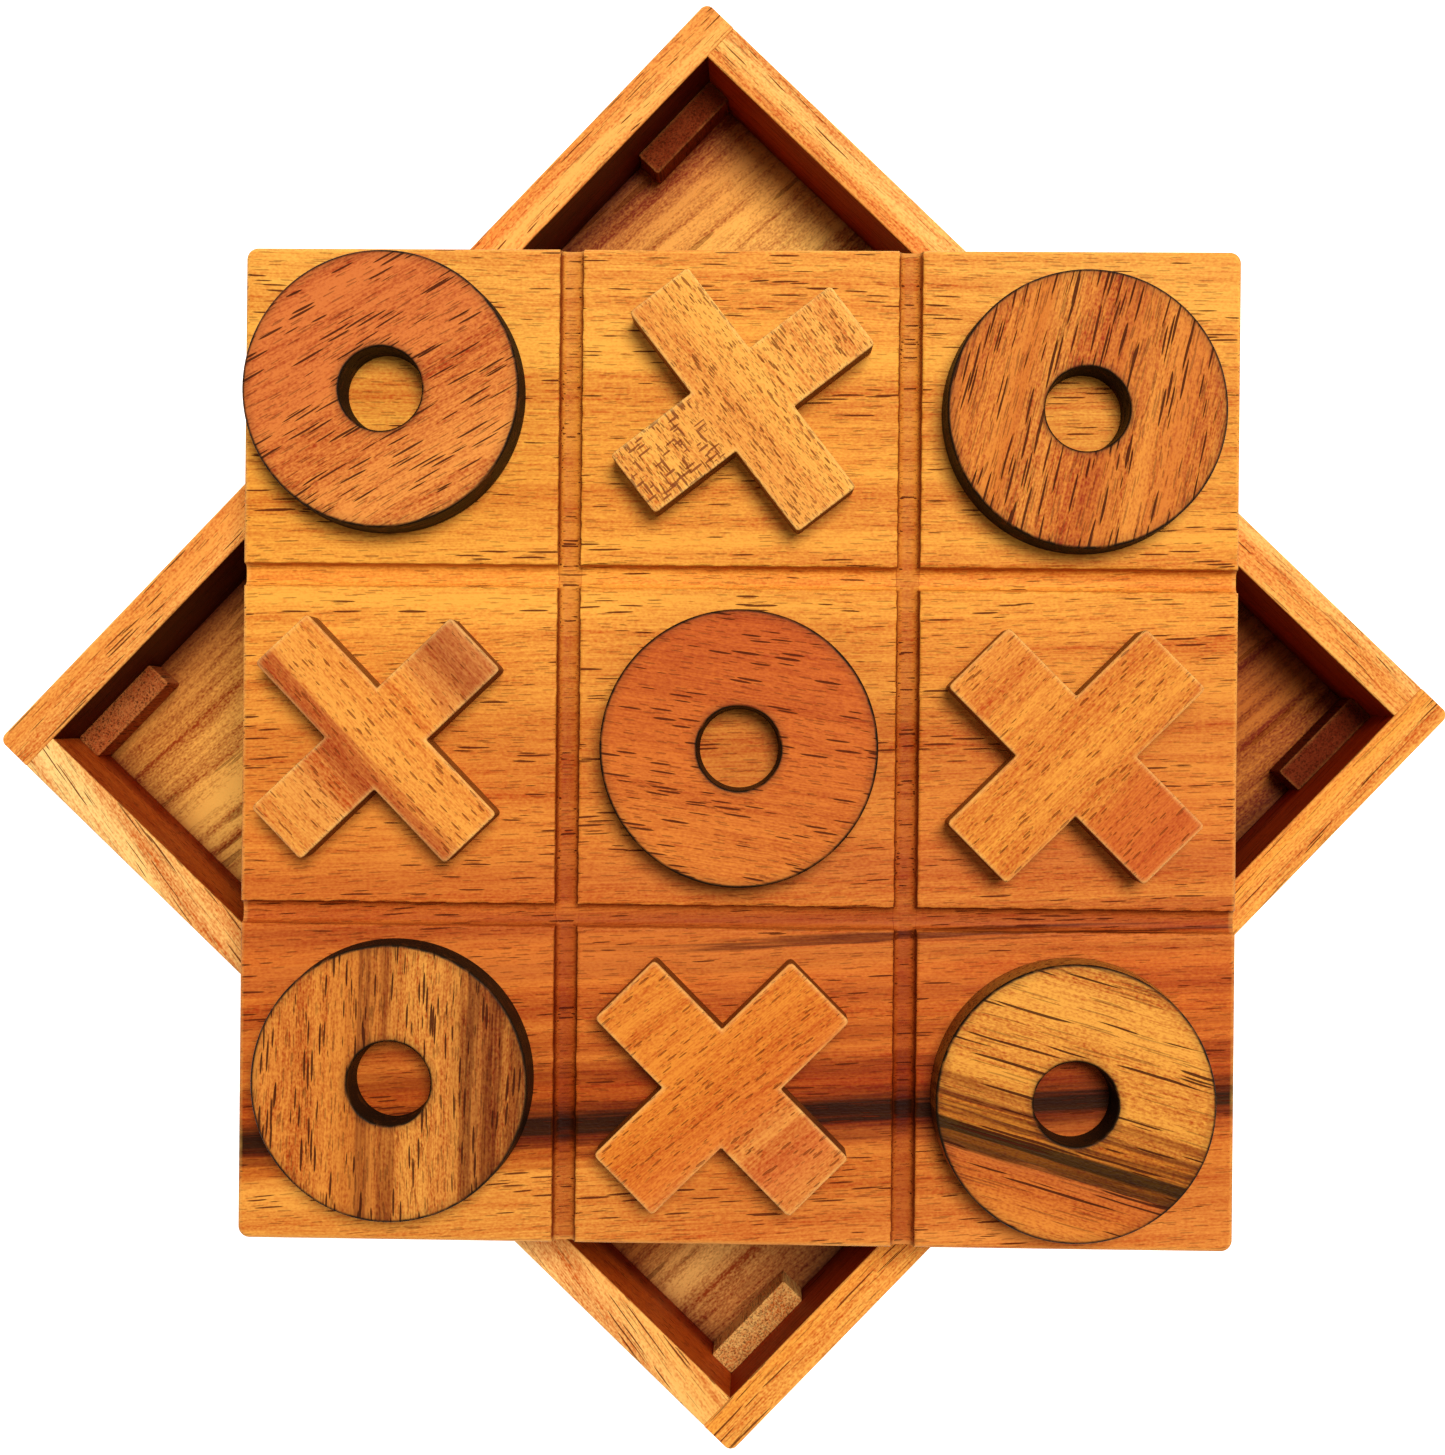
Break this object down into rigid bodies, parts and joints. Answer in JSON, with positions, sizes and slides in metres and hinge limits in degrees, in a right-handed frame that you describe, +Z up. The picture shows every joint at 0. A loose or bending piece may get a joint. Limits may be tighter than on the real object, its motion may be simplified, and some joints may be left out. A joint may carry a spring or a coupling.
{
  "type": "tic tac toe set",
  "caption": "Wooden tic tac toe set: square storage box with a thick grooved board as its lid, and ring and cross pieces laid out on the board.",
  "frame": {"origin": "centre of the box's underside, on the surface it stands on", "axes": "+X along the two long side rails towards the back end rail, +Y towards the left side rail, +Z up"},
  "size_m": [0.1934, 0.1934, 0.0418],
  "materials": {
    "rail_wood": "oiled, straight grain along each rail",
    "floor_wood": "oiled, grain along the side rails",
    "block_wood": "sawn end grain, unpolished",
    "board_wood": "oiled, satin, with dark streaks",
    "ring_wood": "oiled top, scorched dark rim and hole",
    "cross_wood": "sanded and oiled"
  },
  "bodies": {
    "box": {"side_rail_left": "rail_wood", "side_rail_right": "rail_wood", "end_rail_front": "rail_wood", "end_rail_back": "rail_wood", "floor_panel": "floor_wood", "corner_block_front_left": "block_wood", "corner_block_front_right": "block_wood", "corner_block_back_left": "block_wood", "corner_block_back_right": "block_wood"},
    "board": {"playing_board": "board_wood"},
    "ring_top_left": {"ring_top_left": "ring_wood"},
    "ring_top_right": {"ring_top_right": "ring_wood"},
    "ring_centre": {"ring_centre": "ring_wood"},
    "ring_bottom_left": {"ring_bottom_left": "ring_wood"},
    "ring_bottom_right": {"ring_bottom_right": "ring_wood"},
    "cross_top": {"cross_top": "cross_wood"},
    "cross_left": {"cross_left": "cross_wood"},
    "cross_right": {"cross_right": "cross_wood"},
    "cross_bottom": {"cross_bottom": "cross_wood"}
  },
  "joints": [
    {"name": "board_lift", "type": "slide", "parent": "box", "child": "board", "axis": [0, 0, 1], "range_m": [0, 0.06]},
    {"name": "ring_top_left_lift", "type": "slide", "parent": "board", "child": "ring_top_left", "axis": [0, 0, 1], "range_m": [0, 0.03]},
    {"name": "ring_top_right_lift", "type": "slide", "parent": "board", "child": "ring_top_right", "axis": [0, 0, 1], "range_m": [0, 0.03]},
    {"name": "ring_centre_lift", "type": "slide", "parent": "board", "child": "ring_centre", "axis": [0, 0, 1], "range_m": [0, 0.03]},
    {"name": "ring_bottom_left_lift", "type": "slide", "parent": "board", "child": "ring_bottom_left", "axis": [0, 0, 1], "range_m": [0, 0.03]},
    {"name": "ring_bottom_right_lift", "type": "slide", "parent": "board", "child": "ring_bottom_right", "axis": [0, 0, 1], "range_m": [0, 0.03]},
    {"name": "cross_top_lift", "type": "slide", "parent": "board", "child": "cross_top", "axis": [0, 0, 1], "range_m": [0, 0.03]},
    {"name": "cross_left_lift", "type": "slide", "parent": "board", "child": "cross_left", "axis": [0, 0, 1], "range_m": [0, 0.03]},
    {"name": "cross_right_lift", "type": "slide", "parent": "board", "child": "cross_right", "axis": [0, 0, 1], "range_m": [0, 0.03]},
    {"name": "cross_bottom_lift", "type": "slide", "parent": "board", "child": "cross_bottom", "axis": [0, 0, 1], "range_m": [0, 0.03]}
  ]
}
